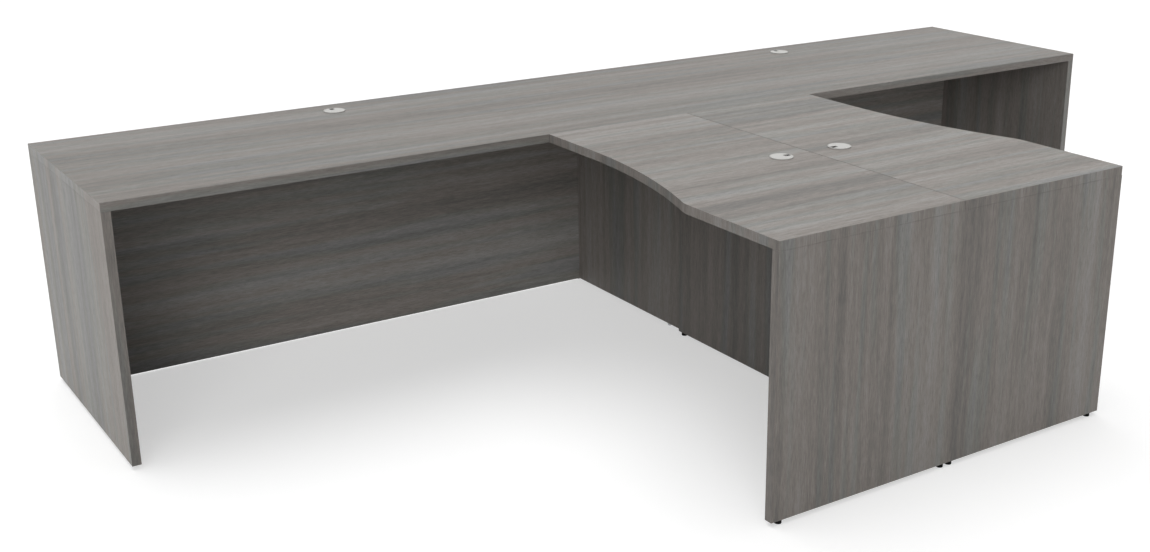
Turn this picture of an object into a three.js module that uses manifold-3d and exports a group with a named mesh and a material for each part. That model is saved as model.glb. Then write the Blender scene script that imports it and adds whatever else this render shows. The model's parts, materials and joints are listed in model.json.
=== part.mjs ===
import * as THREE from "three";
import { mergeVertices } from "three/addons/utils/BufferGeometryUtils.js";
import Module from "manifold-3d";

// A T-shaped laminate desk for two people. One long worktop runs along the rear, and two returns
// stand back to back in front of its middle. Each half mirrors the other about the middle plane.
// Lengths are in millimetres: +X runs right along the long worktop, +Y to the rear and +Z up.
// The origin is on the floor, below the middle of the whole desk.

// Driving sizes of the whole desk
const deskLength = 3657.6;
const deskDepth = 762;
const deskHeight = 749.3;
const returnLength = 1219.2;
const returnWidth = 609.6;
const boardThickness = 25.4;
const footHeight = 12;

// Boards: their edge bands are eased all round, and they stand this far apart where they meet
const edgeEase = 0.8;
const jointGap = 0.2;

// Long desk: the back panels stand in from the rear edge, with a cable notch below each grommet
const backPanelInset = 88.9;
const cableNotchWidth = 100;
const cableNotchDepth = 76;
const cableNotchRadius = 16;

// Outer edge of a return top, from the long worktop forward: straight neck, hollow sweep that gains
// width, blend, straight end and rounded front corner
const neckStraight = 228.6;
const sweepLength = 609.6;
const sweepGain = 101.6;
const sweepBlend = 100;
const frontCornerRadius = 3;

// Cable grommets: a liner with a flange and a ledge, and a slotted cap that drops into it
const grommetHoleRadius = 30;
const grommetFlangeRadius = 34;
const grommetRimWidth = 2.4;
const grommetRimEase = 1.2;
const grommetLedgeHeight = 0.8;
const grommetSleeveLength = 20;
const grommetSleeveWall = 2;
const capThickness = 2;
const capEase = 0.6;
const capSkirtDepth = 9;
const capSkirtWall = 1.5;
const capSlotWidth = 16;
const capSlotStart = 10;
const capSlotRadius = 4;
const rearGrommetInset = 101.6;
const rearGrommetPlaceShare = 0.5;
const returnGrommetInset = 108;
const returnGrommetPlaceShare = 0.5;

// Levelling glides: a foot moulded on a stem, which screws into an insert in the board's lower edge
const stemRadius = 3;
const stemLength = 26;
const stemEase = 0.8;
const plainFootRadius = 9.5;
const plainFootEase = 1.5;
const domedFootRadius = 8;
const domedFootFlatRadius = 4.5;
const insertRadius = 5.5;
const insertLength = 16;
const insertFlangeRadius = 7.5;
const insertFlangeThickness = 1;
const deskGlideInset = 87;
const returnGlideOuterInset = 32;
const returnGlideSeamInset = 16;
const wallGlideInset = 16;

// Joining brackets: flat steel plates below the joint between the worktops
const bracketLength = 90;
const bracketWidth = 40;
const bracketThickness = 3;
const bracketCornerRadius = 6;
const bracketHoleRadius = 2.75;
const bracketHoleInset = 12;
const bracketPlaceShares = [0.3, 0.8];

// Clearances: between still pieces, between moving ones, and how far a cutter passes what it cuts
const fitClearance = 0.3;
const runningGap = 0.3;
const overrun = 5;

// Steps round a grommet, round a glide or bracket, along an outline's arcs, and over an eased edge
const grommetSteps = 32;
const glideSteps = 16;
const arcSteps = 6;
const easeSteps = 1;

// Places that follow from the sizes
const worktopUnderside = deskHeight - boardThickness;
const panelTop = worktopUnderside - jointGap;
const wholeDepth = deskDepth + returnLength;
const rearEdge = wholeDepth / 2;
const jointLine = rearEdge - deskDepth;
const frontEdge = -wholeDepth / 2;
const outerEnd = deskLength / 2;
const sleeveRadius = grommetHoleRadius - fitClearance;
const sleeveBore = sleeveRadius - grommetSleeveWall;
const capRadius = grommetFlangeRadius - grommetRimWidth - runningGap;
const capSkirtRadius = sleeveBore - runningGap;
const capUnderside = grommetLedgeHeight + runningGap;
const rimHeight = capUnderside + capThickness;

const wood = { roughness: 0.55, metalness: 0 };
const finishes = {
  top_laminate: new THREE.MeshStandardMaterial({ color: 0x93908c, ...wood }),
  panel_laminate: new THREE.MeshStandardMaterial({ color: 0x8a8884, ...wood }),
  grommet_plastic: new THREE.MeshStandardMaterial({ color: 0xcdcdc8, roughness: 0.4, metalness: 0 }),
  black_plastic: new THREE.MeshStandardMaterial({ color: 0x1c1c1c, roughness: 0.5, metalness: 0 }),
  zinc_steel: new THREE.MeshStandardMaterial({ color: 0x9a9a98, roughness: 0.35, metalness: 1 }),
};

const wasm = await Module();
wasm.setup();

// Joins and cuts work on closed solids, which share their vertices.
function solidOf(geometry) {
  const bare = geometry.clone();
  bare.deleteAttribute("normal");
  bare.deleteAttribute("uv");
  const merged = mergeVertices(bare);
  return new wasm.Manifold(
    new wasm.Mesh({
      numProp: 3,
      vertProperties: new Float32Array(merged.attributes.position.array),
      triVerts: new Uint32Array(merged.index.array),
    }),
  );
}

function geometryOf(solid) {
  const mesh = solid.getMesh();
  const geometry = new THREE.BufferGeometry();
  geometry.setAttribute("position", new THREE.BufferAttribute(mesh.vertProperties, 3));
  geometry.setIndex(new THREE.BufferAttribute(mesh.triVerts, 1));
  const faceted = geometry.toNonIndexed();
  faceted.computeVertexNormals();
  return faceted;
}

function cutFrom(geometry, cutters) {
  let solid = solidOf(geometry);
  for (const cutter of cutters) {
    solid = solid.subtract(solidOf(cutter));
  }
  return geometryOf(solid);
}

// A board lies flat with its underside at height zero, and its outline is the view from above.
function easedBoard(outline, thickness) {
  const geometry = new THREE.ExtrudeGeometry(outline, {
    depth: thickness - 2 * edgeEase,
    bevelEnabled: true,
    bevelThickness: edgeEase,
    bevelSize: edgeEase,
    bevelOffset: -edgeEase,
    bevelSegments: easeSteps,
    curveSegments: arcSteps,
  });
  return geometry.translate(0, 0, edgeEase);
}

function plate(outline, thickness) {
  return new THREE.ExtrudeGeometry(outline, {
    depth: thickness,
    bevelEnabled: false,
    curveSegments: arcSteps / 2,
  });
}

// A round piece turned from its profile of radius and height pairs, upright on the origin
function turned(profile, steps) {
  const points = profile.map(([radius, height]) => new THREE.Vector2(radius, height));
  return new THREE.LatheGeometry(points, steps).rotateX(Math.PI / 2);
}

function rectangle(left, bottom, right, top) {
  const outline = new THREE.Shape();
  outline.moveTo(left, bottom);
  outline.lineTo(right, bottom);
  outline.lineTo(right, top);
  outline.lineTo(left, top);
  outline.closePath();
  return outline;
}

function roundedRectangle(left, bottom, right, top, radius) {
  const outline = new THREE.Shape();
  outline.moveTo(left + radius, bottom);
  outline.lineTo(right - radius, bottom);
  outline.absarc(right - radius, bottom + radius, radius, -Math.PI / 2, 0, false);
  outline.lineTo(right, top - radius);
  outline.absarc(right - radius, top - radius, radius, 0, Math.PI / 2, false);
  outline.lineTo(left + radius, top);
  outline.absarc(left + radius, top - radius, radius, Math.PI / 2, Math.PI, false);
  outline.lineTo(left, bottom + radius);
  outline.absarc(left + radius, bottom + radius, radius, Math.PI, Math.PI * 1.5, false);
  outline.closePath();
  return outline;
}

function roundHole(x, y, radius) {
  const hole = new THREE.Path();
  hole.absarc(x, y, radius, 0, -Math.PI, true);
  hole.absarc(x, y, radius, -Math.PI, -Math.PI * 2, true);
  return hole;
}

// Standing boards: the outline's two directions become depth and height, or width and height.
const xAxis = new THREE.Vector3(1, 0, 0);
const yAxis = new THREE.Vector3(0, 1, 0);
const zAxis = new THREE.Vector3(0, 0, 1);
const facingSide = new THREE.Matrix4().makeBasis(yAxis, zAxis, xAxis);
const facingFront = new THREE.Matrix4().makeBasis(xAxis, zAxis, yAxis.clone().negate());

// A bore for an insert and its stem, up from the lower edge of a board
function insertBore(x, y) {
  const depth = stemLength + overrun;
  const bore = new THREE.CylinderGeometry(
    insertRadius + fitClearance,
    insertRadius + fitClearance,
    depth + overrun,
    glideSteps,
  );
  bore.rotateX(Math.PI / 2);
  return bore.translate(x, y, footHeight + (depth - overrun) / 2);
}

// An upright board that faces sideways, from its inner face at x outward, bored for its glides
function sidePanel(x, front, rear, glidePlaces) {
  const outline = rectangle(front, footHeight, rear, panelTop);
  const panel = easedBoard(outline, boardThickness).applyMatrix4(facingSide).translate(x, 0, 0);
  const bores = glidePlaces.map((y) => insertBore(x + boardThickness / 2, y));
  return cutFrom(panel, bores);
}

// Foot of a glide with a flat sole and straight sides, for the returns
function plainFootProfile(top) {
  return [
    [0, 0],
    [plainFootRadius - plainFootEase, 0],
    [plainFootRadius, plainFootEase],
    [plainFootRadius, top - plainFootEase],
    [plainFootRadius - plainFootEase, top],
  ];
}

// Foot of a glide with a small flat sole that domes up to its full width, for the long desk
function domedFootProfile(top) {
  const points = [[0, 0]];
  for (let step = 0; step <= arcSteps; step++) {
    const turn = (step / arcSteps) * (Math.PI / 2);
    const radius = domedFootFlatRadius + (domedFootRadius - domedFootFlatRadius) * Math.sin(turn);
    points.push([radius, (top - stemEase) * (1 - Math.cos(turn))]);
  }
  points.push([domedFootRadius, top]);
  return points;
}

function glideGeometry(footProfile) {
  const footTop = footHeight - jointGap - insertFlangeThickness - runningGap;
  const stemTop = footTop + stemLength;
  return turned(
    [
      ...footProfile(footTop),
      [stemRadius, footTop],
      [stemRadius, stemTop - stemEase],
      [stemRadius - stemEase, stemTop],
      [0, stemTop],
    ],
    glideSteps,
  );
}

// An insert: a sleeve in the board with a flange against its lower edge, open right through
function insertGeometry() {
  const bore = stemRadius + runningGap;
  const flangeTop = footHeight - jointGap;
  const flangeBottom = flangeTop - insertFlangeThickness;
  return turned(
    [
      [bore, flangeBottom],
      [insertFlangeRadius, flangeBottom],
      [insertFlangeRadius, flangeTop],
      [insertRadius, flangeTop],
      [insertRadius, flangeTop + insertLength],
      [bore, flangeTop + insertLength],
      [bore, flangeBottom],
    ],
    glideSteps,
  );
}

// A grommet's liner, with its flange on the worktop: rim around the cap, ledge below it, sleeve
function linerGeometry() {
  return turned(
    [
      [sleeveBore, -grommetSleeveLength],
      [sleeveRadius, -grommetSleeveLength],
      [sleeveRadius, jointGap],
      [grommetFlangeRadius, jointGap],
      [grommetFlangeRadius, rimHeight - grommetRimEase],
      [grommetFlangeRadius - grommetRimEase, rimHeight],
      [grommetFlangeRadius - grommetRimWidth, rimHeight],
      [grommetFlangeRadius - grommetRimWidth, grommetLedgeHeight],
      [sleeveBore, grommetLedgeHeight],
      [sleeveBore, -grommetSleeveLength],
    ],
    grommetSteps,
  );
}

// A grommet's cap: a disc with a skirt below it, and one slot from near the middle out to the rim
function capGeometry() {
  const skirtBottom = capUnderside - capSkirtDepth;
  const disc = turned(
    [
      [0, capUnderside],
      [capSkirtRadius - capSkirtWall, capUnderside],
      [capSkirtRadius - capSkirtWall, skirtBottom],
      [capSkirtRadius, skirtBottom],
      [capSkirtRadius, capUnderside],
      [capRadius, capUnderside],
      [capRadius, rimHeight - capEase],
      [capRadius - capEase, rimHeight],
      [0, rimHeight],
    ],
    grommetSteps,
  );
  const slotOutline = roundedRectangle(
    capSlotStart,
    -capSlotWidth / 2,
    grommetFlangeRadius + overrun,
    capSlotWidth / 2,
    capSlotRadius,
  );
  const slotHeight = capThickness + capSkirtDepth + 2 * overrun;
  const slot = plate(slotOutline, slotHeight).translate(0, 0, skirtBottom - overrun);
  return cutFrom(disc, [slot]);
}

// The desk
const desk = new THREE.Group();

function addPiece(group, name, geometry, finish) {
  const mesh = new THREE.Mesh(geometry, finishes[finish]);
  mesh.name = name;
  group.add(mesh);
  return mesh;
}

// Where the two rear grommets stand, out from the middle
const rearGrommetX = outerEnd * rearGrommetPlaceShare;
const rearGrommetY = rearEdge - rearGrommetInset;
const returnGrommetY = jointLine - returnLength * returnGrommetPlaceShare;

// Each long upright stands on two glides.
const deskGlidePlaces = [jointLine + deskGlideInset, rearEdge - deskGlideInset];

function longWorktop() {
  const outline = rectangle(-outerEnd, jointLine, outerEnd, rearEdge);
  for (const side of [-1, 1]) {
    outline.holes.push(roundHole(side * rearGrommetX, rearGrommetY, grommetHoleRadius));
  }
  return easedBoard(outline, boardThickness).translate(0, 0, worktopUnderside);
}

// Back panel of one half, with the cable notch in its upper edge below the grommet
function backPanel() {
  const inner = boardThickness / 2 + jointGap;
  const outer = outerEnd - boardThickness - jointGap;
  const notchLeft = rearGrommetX - cableNotchWidth / 2;
  const notchRight = rearGrommetX + cableNotchWidth / 2;
  const notchFloor = panelTop - cableNotchDepth;
  const radius = cableNotchRadius;
  const outline = new THREE.Shape();
  outline.moveTo(inner, footHeight);
  outline.lineTo(outer, footHeight);
  outline.lineTo(outer, panelTop);
  outline.lineTo(notchRight, panelTop);
  outline.lineTo(notchRight, notchFloor + radius);
  outline.absarc(notchRight - radius, notchFloor + radius, radius, 0, -Math.PI / 2, true);
  outline.lineTo(notchLeft + radius, notchFloor);
  outline.absarc(notchLeft + radius, notchFloor + radius, radius, -Math.PI / 2, -Math.PI, true);
  outline.lineTo(notchLeft, panelTop);
  outline.lineTo(inner, panelTop);
  outline.closePath();
  const panel = easedBoard(outline, boardThickness).applyMatrix4(facingFront);
  return panel.translate(0, rearEdge - backPanelInset, 0);
}

// Return top of one half, drawn round from the seam. A blend takes the straight end into the hollow
// sweep, which runs out in line with the straight neck.
function returnTop() {
  const rear = jointLine - jointGap;
  const seam = jointGap / 2;
  const neck = returnWidth - sweepGain;
  const sweepRadius = (sweepLength ** 2 + sweepGain ** 2) / (2 * sweepGain);
  const reach = sweepRadius + sweepBlend;
  const run = Math.sqrt(reach ** 2 - (reach - sweepGain) ** 2);
  const sweepAngle = Math.asin(run / reach);
  const sweepStart = jointLine - neckStraight;
  const corner = frontCornerRadius;
  const outline = new THREE.Shape();
  outline.moveTo(seam, rear);
  outline.lineTo(seam, frontEdge);
  outline.lineTo(returnWidth - corner, frontEdge);
  outline.absarc(returnWidth - corner, frontEdge + corner, corner, -Math.PI / 2, 0, false);
  outline.absarc(returnWidth - sweepBlend, sweepStart - run, sweepBlend, 0, sweepAngle, false);
  outline.absarc(neck + sweepRadius, sweepStart, sweepRadius, Math.PI + sweepAngle, Math.PI, true);
  outline.lineTo(neck, rear);
  outline.closePath();
  outline.holes.push(roundHole(returnGrommetInset, returnGrommetY, grommetHoleRadius));
  return easedBoard(outline, boardThickness).translate(0, 0, worktopUnderside);
}

function returnWall() {
  const front = frontEdge + boardThickness + jointGap;
  const rear = jointLine - jointGap;
  return sidePanel(jointGap / 2, front, rear, [rear - wallGlideInset]);
}

// Glides of a return's end panel: one near the seam and one near the outer corner
const returnGlidePlaces = [returnGlideSeamInset, returnWidth - returnGlideOuterInset];

function returnEndPanel() {
  const outline = rectangle(jointGap / 2, footHeight, returnWidth, panelTop);
  const panel = easedBoard(outline, boardThickness).applyMatrix4(facingFront);
  panel.translate(0, frontEdge + boardThickness, 0);
  return cutFrom(
    panel,
    returnGlidePlaces.map((x) => insertBore(x, frontEdge + boardThickness / 2)),
  );
}

function joiningBracket() {
  const outline = roundedRectangle(
    -bracketWidth / 2,
    -bracketLength / 2,
    bracketWidth / 2,
    bracketLength / 2,
    bracketCornerRadius,
  );
  for (const end of [-1, 1]) {
    for (const inset of [bracketHoleInset, bracketLength / 2 - bracketHoleInset]) {
      outline.holes.push(roundHole(0, end * (bracketLength / 2 - inset), bracketHoleRadius));
    }
  }
  return plate(outline, bracketThickness);
}

function addGlide(group, name, footProfile, finish, x, y) {
  addPiece(group, `${name}_glide`, glideGeometry(footProfile), finish).position.set(x, y, 0);
  addPiece(group, `${name}_insert`, insertGeometry(), "zinc_steel").position.set(x, y, 0);
}

function addGrommet(group, name, x, y, slotTurn) {
  addPiece(group, `${name}_grommet_liner`, linerGeometry(), "grommet_plastic")
    .position.set(x, y, deskHeight);
  const cap = addPiece(group, `${name}_grommet_cap`, capGeometry(), "grommet_plastic");
  cap.position.set(x, y, deskHeight);
  cap.rotation.z = slotTurn;
}

// The pieces of the right half. The left half is the same group mirrored.
function addHalf(side, mirror) {
  const half = new THREE.Group();
  half.scale.x = mirror;
  desk.add(half);
  const endPanel = sidePanel(outerEnd - boardThickness, jointLine, rearEdge, deskGlidePlaces);
  addPiece(half, `${side}_end_panel`, endPanel, "panel_laminate");
  addPiece(half, `${side}_back_panel`, backPanel(), "panel_laminate");
  addPiece(half, `${side}_return_top`, returnTop(), "top_laminate");
  addPiece(half, `${side}_return_wall`, returnWall(), "panel_laminate");
  addPiece(half, `${side}_return_end_panel`, returnEndPanel(), "panel_laminate");

  addGrommet(half, `${side}_rear`, rearGrommetX, rearGrommetY, Math.PI / 2);
  addGrommet(half, `${side}_return`, returnGrommetInset, returnGrommetY, Math.PI);

  const endPanelMiddle = outerEnd - boardThickness / 2;
  const wallMiddle = (jointGap + boardThickness) / 2;
  const returnEndMiddle = frontEdge + boardThickness / 2;
  const [seamGlide, outerGlide] = returnGlidePlaces;
  ["front", "rear"].forEach((place, index) => {
    const y = deskGlidePlaces[index];
    addGlide(half, `${side}_end_${place}`, domedFootProfile, "zinc_steel", endPanelMiddle, y);
  });
  const wallGlideY = jointLine - jointGap - wallGlideInset;
  addGlide(half, `${side}_wall`, plainFootProfile, "black_plastic", wallMiddle, wallGlideY);
  addGlide(half, `${side}_seam`, plainFootProfile, "black_plastic", seamGlide, returnEndMiddle);
  addGlide(half, `${side}_corner`, plainFootProfile, "black_plastic", outerGlide, returnEndMiddle);

  bracketPlaceShares.forEach((share, index) => {
    const name = `${side}_joining_bracket_${index + 1}`;
    const bracket = addPiece(half, name, joiningBracket(), "zinc_steel");
    const underside = worktopUnderside - jointGap - bracketThickness;
    bracket.position.set((returnWidth - sweepGain) * share, jointLine, underside);
  });
}

addPiece(desk, "long_worktop", longWorktop(), "top_laminate");
const centrePanel = sidePanel(-boardThickness / 2, jointLine, rearEdge, deskGlidePlaces);
addPiece(desk, "centre_support_panel", centrePanel, "panel_laminate");
addGlide(desk, "centre_front", domedFootProfile, "zinc_steel", 0, deskGlidePlaces[0]);
addGlide(desk, "centre_rear", domedFootProfile, "zinc_steel", 0, deskGlidePlaces[1]);
addHalf("left", -1);
addHalf("right", 1);

export default desk;
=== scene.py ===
"""Finished model of a T-shaped laminate desk for two people.

The solid model is loaded first and fixes every place and size. Each operator then makes a group of
pieces in its place: boards with edge bands, grommets, glides, joining brackets and cam caps.
"""

import json
from math import atan2, cos, pi, radians, sin

import bpy
from bpy.props import FloatProperty, FloatVectorProperty, IntProperty, PointerProperty
from mathutils import Matrix, Vector
from mathutils.geometry import tessellate_polygon

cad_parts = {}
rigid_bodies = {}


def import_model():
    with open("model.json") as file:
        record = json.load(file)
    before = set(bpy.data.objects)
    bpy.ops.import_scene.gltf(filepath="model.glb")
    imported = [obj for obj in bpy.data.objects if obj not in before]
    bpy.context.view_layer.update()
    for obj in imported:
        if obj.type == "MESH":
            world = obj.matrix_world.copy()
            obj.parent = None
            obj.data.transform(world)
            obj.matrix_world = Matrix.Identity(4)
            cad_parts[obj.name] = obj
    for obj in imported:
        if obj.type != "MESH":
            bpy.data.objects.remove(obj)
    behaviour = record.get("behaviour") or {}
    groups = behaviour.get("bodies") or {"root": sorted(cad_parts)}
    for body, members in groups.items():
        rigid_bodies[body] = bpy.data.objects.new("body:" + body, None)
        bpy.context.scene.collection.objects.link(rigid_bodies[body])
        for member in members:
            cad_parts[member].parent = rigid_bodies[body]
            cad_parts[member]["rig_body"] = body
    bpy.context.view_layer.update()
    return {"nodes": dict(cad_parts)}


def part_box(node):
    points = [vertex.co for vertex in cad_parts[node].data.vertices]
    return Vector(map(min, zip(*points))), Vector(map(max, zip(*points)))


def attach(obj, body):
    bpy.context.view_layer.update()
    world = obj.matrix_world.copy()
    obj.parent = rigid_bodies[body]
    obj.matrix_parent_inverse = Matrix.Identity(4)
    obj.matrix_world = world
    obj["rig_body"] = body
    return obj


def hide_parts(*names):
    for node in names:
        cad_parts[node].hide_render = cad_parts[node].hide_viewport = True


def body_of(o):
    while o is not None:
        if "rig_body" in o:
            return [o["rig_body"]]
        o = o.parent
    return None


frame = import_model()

bl_info = {
    "name": "Two-Person Laminate Desk",
    "version": (1, 0, 0),
    "blender": (4, 5, 0),
    "location": "3D View > Sidebar > Desk",
    "description": "Makes the boards, grommets, glides and fittings of a two-person desk",
    "category": "Object",
}

# Each board: the axis of its thickness, then the axis that the grain follows on faces whose
# normal runs along X, Y and Z, and the sheet of laminate that each of them is cut from.
# A sheet's shade is partly its own tone and partly painted shade: the darker Upright sheet goes on
# faces that stand in shade, and the paler End Panel sheet on the left end panel and the long top's ends.
# Boards that share a sheet carry its figure on over the joint between them.
SHEETS = ("Long Top", "Left Return Top", "Right Return Top", "End Panel", "Upright", "Back Panel")
LONG_TOP, LEFT_RETURN_TOP, RIGHT_RETURN_TOP, END_PANEL, UPRIGHT, BACK = range(len(SHEETS))
SIDE_PANEL = (0, "ZZY", (UPRIGHT, UPRIGHT, UPRIGHT))
# The left end panel's front and back edges take the darker Upright sheet: painted shade on them
LEFT_END_PANEL = (0, "ZZY", (END_PANEL, UPRIGHT, END_PANEL))
FRONT_PANEL = (1, "ZZX", (UPRIGHT, UPRIGHT, UPRIGHT))
BACK_PANEL = (1, "ZXX", (BACK, BACK, BACK))
SIDES = ("left", "right")
RETURN_END_PANELS = {f"{side}_return_end_panel": FRONT_PANEL for side in SIDES}
BACK_PANELS = {f"{side}_back_panel": BACK_PANEL for side in SIDES}
WORKTOPS = {
    "long_worktop": (2, "ZXX", (END_PANEL, LONG_TOP, LONG_TOP)),
    "left_return_top": (2, "ZZX", (UPRIGHT, UPRIGHT, LEFT_RETURN_TOP)),
    "right_return_top": (2, "ZZX", (UPRIGHT, UPRIGHT, RIGHT_RETURN_TOP)),
}
UPRIGHTS = {
    "centre_support_panel": SIDE_PANEL,
    "left_end_panel": LEFT_END_PANEL,
    # The right end panel takes the darker Upright sheet: painted shade, as it stands in shade
    "right_end_panel": SIDE_PANEL,
    **{f"{side}_return_wall": SIDE_PANEL for side in SIDES},
    **RETURN_END_PANELS,
}

GROMMETS = [f"{side}_{place}" for side in SIDES for place in ("rear", "return")]
BRACKETS = [f"{side}_joining_bracket_{number}" for side in SIDES for number in (1, 2)]
DESK_UPRIGHTS = ("left_end", "centre", "right_end")
DESK_GLIDES = [f"{upright}_{end}" for upright in DESK_UPRIGHTS for end in ("front", "rear")]
RETURN_GLIDES = [f"{side}_{place}" for side in SIDES for place in ("wall", "seam", "corner")]

# Finishes of a board's faces while it is made
FINISHES = FACE, BAND, CORE, GLUE = range(4)

# From one sheet's figure to the next: along the grain, across it and in depth
SHEET_STEP = Vector((5.3, 3.1, 0.7))

# Layers of the laminate's figure, with the detail and the roughness of each one's noise
FIGURE_LAYERS = {"clouds": (1.0, 0.5), "streaks": (2.0, 0.5), "flecks": (2.0, 0.5), "fibres": (4.0, 0.72)}

# Gap that a small piece keeps from the face that carries it
SEAT_GAP = 0.00002


def setting(kind, name, description, default, **limits):
    return kind(name=name, description=description, default=default, **limits)


def length(*words):
    return setting(FloatProperty, *words, unit="LENGTH", precision=5)


def factor(*words):
    return setting(FloatProperty, *words, subtype="FACTOR", min=0, max=1)


def amount(*words, unit="NONE"):
    return setting(FloatProperty, *words, unit=unit, min=0)


def facets(*words, least=12):
    return setting(IntProperty, *words, min=least)


def colour(*words):
    return setting(FloatVectorProperty, *words, subtype="COLOR", size=3, min=0, max=1)


def values(name, description, default, **kind):
    return setting(FloatVectorProperty, name, description, default, size=len(default), **kind)


def sizes(*words):
    return values(*words, unit="LENGTH", precision=5)


def angles(name, description, degrees):
    default = [radians(part) for part in degrees]
    return values(name, description, default, unit="ROTATION")


class DESK_PG_boards(bpy.types.PropertyGroup):
    band_thickness: length("Band Thickness", "Thickness of the edge bands", 0.001)
    arris_radius: length("Arris Radius", "Rounding of the bands' long edges", 0.00035)
    arris_steps: facets("Arris Steps", "Facets over each rounded edge", 4, least=1)
    glue_line: sizes("Glue Line", "Width and depth of the line in a band", (0.00014, 0.0001))
    seam_setback: length("Seam Setback", "How far each return top stands off their seam", 0.0008)
    hole_arris: length("Hole Arris", "Rounding of the grommet holes' edges", 0.0003)
    bore: sizes("Bore", "Radius and depth of a glide insert's bore", (0.0058, 0.031))


class DESK_PG_laminate(bpy.types.PropertyGroup):
    dark: colour("Dark Figure", "Darkest figure in the print", (0.150, 0.144, 0.136))
    brown: colour("Brown Ground", "Warm ground of the print", (0.255, 0.230, 0.210))
    green: colour("Green Ground", "Green-grey ground of the print", (0.237, 0.236, 0.216))
    blue: colour("Blue Ground", "Blue-grey ground of the print", (0.233, 0.232, 0.229))
    light: colour("Light Figure", "Palest figure in the print", (0.332, 0.322, 0.309))
    # Partly painted shade: besides each sheet's own tone, these darken the sheets that stand in shade
    sheet_tone_and_painted_shade: values(
        "Sheet Tone And Painted Shade", "Brightness of each sheet", (0.81, 0.93, 0.96, 0.97, 0.875, 0.92), min=0
    )
    sheet_figures: values(
        "Sheet Figures", "Strength of each sheet's figure", (1.08, 1.32, 1.32, 0.93, 1.11, 1.2), min=0
    )
    sheet_warmths: values(
        "Sheet Warmths", "Lean of each sheet to the brown ground", (0.03, 0.07, 0.04, -0.01, 0.07, 0.02)
    )
    clouds: values("Clouds", "Length, width and weight of broad changes of tone", (4.0, 0.13, 1.0))
    streaks: values("Streaks", "Length, width and weight of the streaks", (1.7, 0.030, 0.8))
    flecks: values("Flecks", "Length, width and weight of short flecks", (0.14, 0.012, 0.5))
    fibres: values("Fibres", "Length, width and weight of fine fibres", (0.036, 0.0034, 1.15))
    patches: sizes("Patches", "Length and width of each ground", (0.9, 0.042))
    pores: sizes("Pores", "Length and width of the pores", (0.022, 0.0009))
    pore_depth: length("Pore Depth", "Depth of the pressed pores", 0.00004)
    pore_darkness: factor("Pore Darkness", "Share of dark figure in a pore", 0.55)
    sway: values("Sway", "Length, width and reach of the figure's slow sway", (0.9, 0.3, 0.008))
    ripple: values("Ripple", "Length, width and reach of quicker ripples", (0.22, 0.06, 0.001))
    face_roughness: factor("Face Roughness", "Roughness of the faces", 0.52)
    band_roughness: factor("Band Roughness", "Roughness of the edge bands", 0.46)
    gloss: factor("Gloss", "Strength of the laminate's reflection", 0.25)
    glue: colour("Glue Line", "Colour of the glue line inside a band", (0.110, 0.101, 0.093))
    dark_chips: colour("Dark Chips", "Darkest chips of the bare board", (0.16, 0.10, 0.055))
    light_chips: colour("Light Chips", "Palest chips of the bare board", (0.42, 0.30, 0.18))


class DESK_PG_grommets(bpy.types.PropertyGroup):
    plastic: colour("Plastic", "Colour of liners and caps", (0.54, 0.535, 0.515))
    # Painted shade: a dark colour on the liners' ledge and bore, whose plastic is the pale one, for the
    # shade inside the holes
    inside: colour("Inside", "Colour of the liners' ledge and bore", (0.05, 0.05, 0.048))
    steps: facets("Steps", "Facets around a grommet", 96)
    sleeve_wall: length("Sleeve Wall", "Wall of the liner's sleeve", 0.002)
    sleeve_length: length("Sleeve Length", "Depth of the sleeve in the worktop", 0.02)
    flange_reach: length("Flange Reach", "From the sleeve to the flange's edge", 0.0043)
    rim_width: length("Rim Width", "Width of the liner's rim", 0.0024)
    ledge_height: length("Ledge Height", "Height of the ledge below the cap", 0.0008)
    liner_ease: length("Liner Ease", "Reach of the liner's rounded edges", 0.0008)
    slot_width: length("Slot Width", "Width of the cap's cable slot", 0.016)
    slot_start: length("Slot Start", "From the cap's middle to its slot", 0.010)
    slot_corner: length("Slot Corner", "Rounding of the slot's inner corners", 0.004)
    cap_thickness: length("Cap Thickness", "Thickness of the cap's disc", 0.002)
    cap_ease: length("Cap Ease", "Rounding of the disc's edges", 0.0005)
    skirt: sizes("Skirt", "Outer radius and wall of the skirt below the cap", (0.0274, 0.0015))


class DESK_PG_glides(bpy.types.PropertyGroup):
    zinc: colour("Zinc", "Colour of plated steel", (0.52, 0.53, 0.54))
    black: colour("Black Plastic", "Colour of the returns' feet", (0.004, 0.004, 0.004))
    steps: facets("Steps", "Facets around a glide", 48)
    stem_radius: length("Stem Radius", "Radius of the threaded stem", 0.003)
    thread: sizes("Thread", "Pitch and depth of the thread", (0.001, 0.0004))
    foot_height: length("Foot Height", "Height of a foot without its stem", 0.0105)
    sole_radius: length("Sole Radius", "Radius of a domed foot's flat sole", 0.0045)
    shoulder: length("Shoulder", "Straight wall above a foot's dome", 0.0012)
    edge_radius: length("Edge Radius", "Rounding of the plain feet", 0.0007)
    sleeve_radius: length("Sleeve Radius", "Radius of an insert's sleeve", 0.0055)
    flange_thickness: length("Flange Thickness", "Thickness of an insert's flange", 0.001)
    barb_depth: length("Barb Depth", "Depth of the barbs around an insert", 0.0005)
    running_gap: length("Running Gap", "Between a stem and its insert", 0.0003)


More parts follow.
